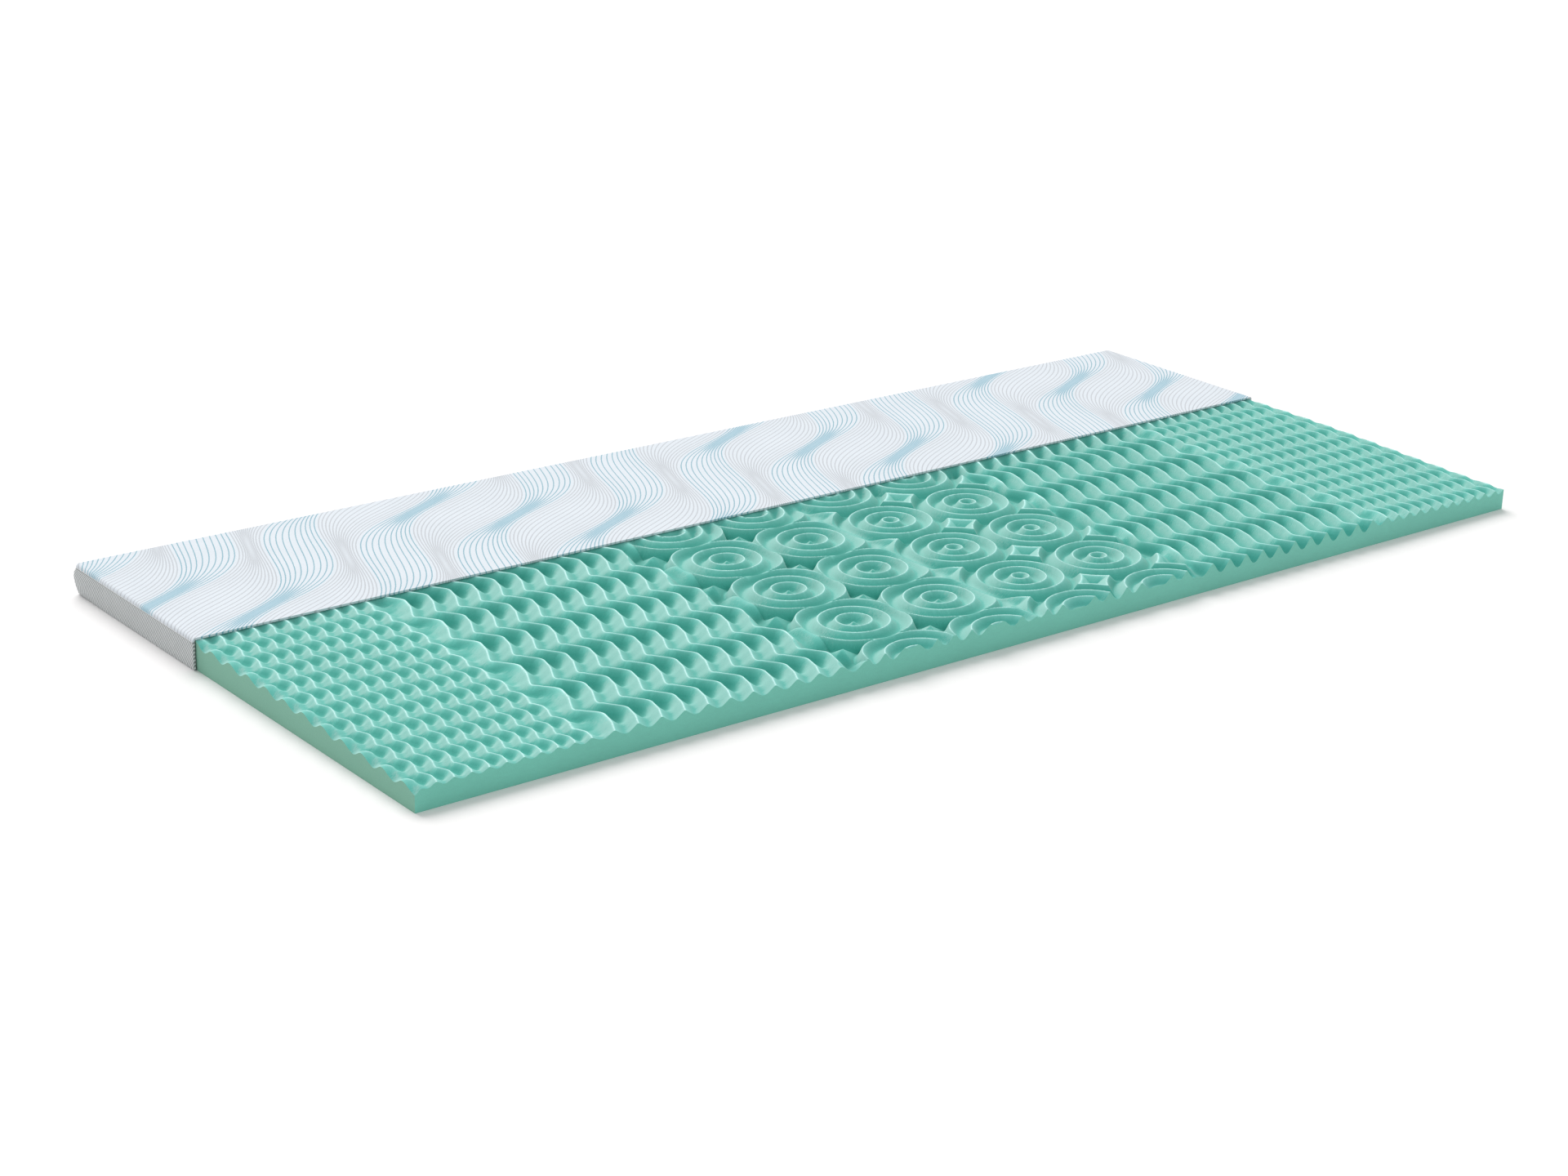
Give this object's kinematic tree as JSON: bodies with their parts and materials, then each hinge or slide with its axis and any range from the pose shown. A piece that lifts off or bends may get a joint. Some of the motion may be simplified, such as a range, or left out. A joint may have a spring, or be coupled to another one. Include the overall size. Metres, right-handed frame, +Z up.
{
  "type": "mattress topper",
  "caption": "Foam mattress topper with zigzag and ring relief zones, its knit cover with a ribbed side band cut back to a strip along the back.",
  "frame": {"origin": "middle of the underside, on the surface it lies on", "axes": "+X along the length, +Y across towards the side that the cover lies on, +Z up"},
  "size_m": [2.0164, 0.9082, 0.0463],
  "materials": {
    "foam": "matt open-cell foam, mint green",
    "cover_knit": "soft double knit, cool white with blue and grey wave lines",
    "band_knit": "ribbed knit, pale grey"
  },
  "bodies": {
    "root": {"foam_core": "foam", "cover_top": "cover_knit", "cover_band": "band_knit"}
  },
  "joints": []
}
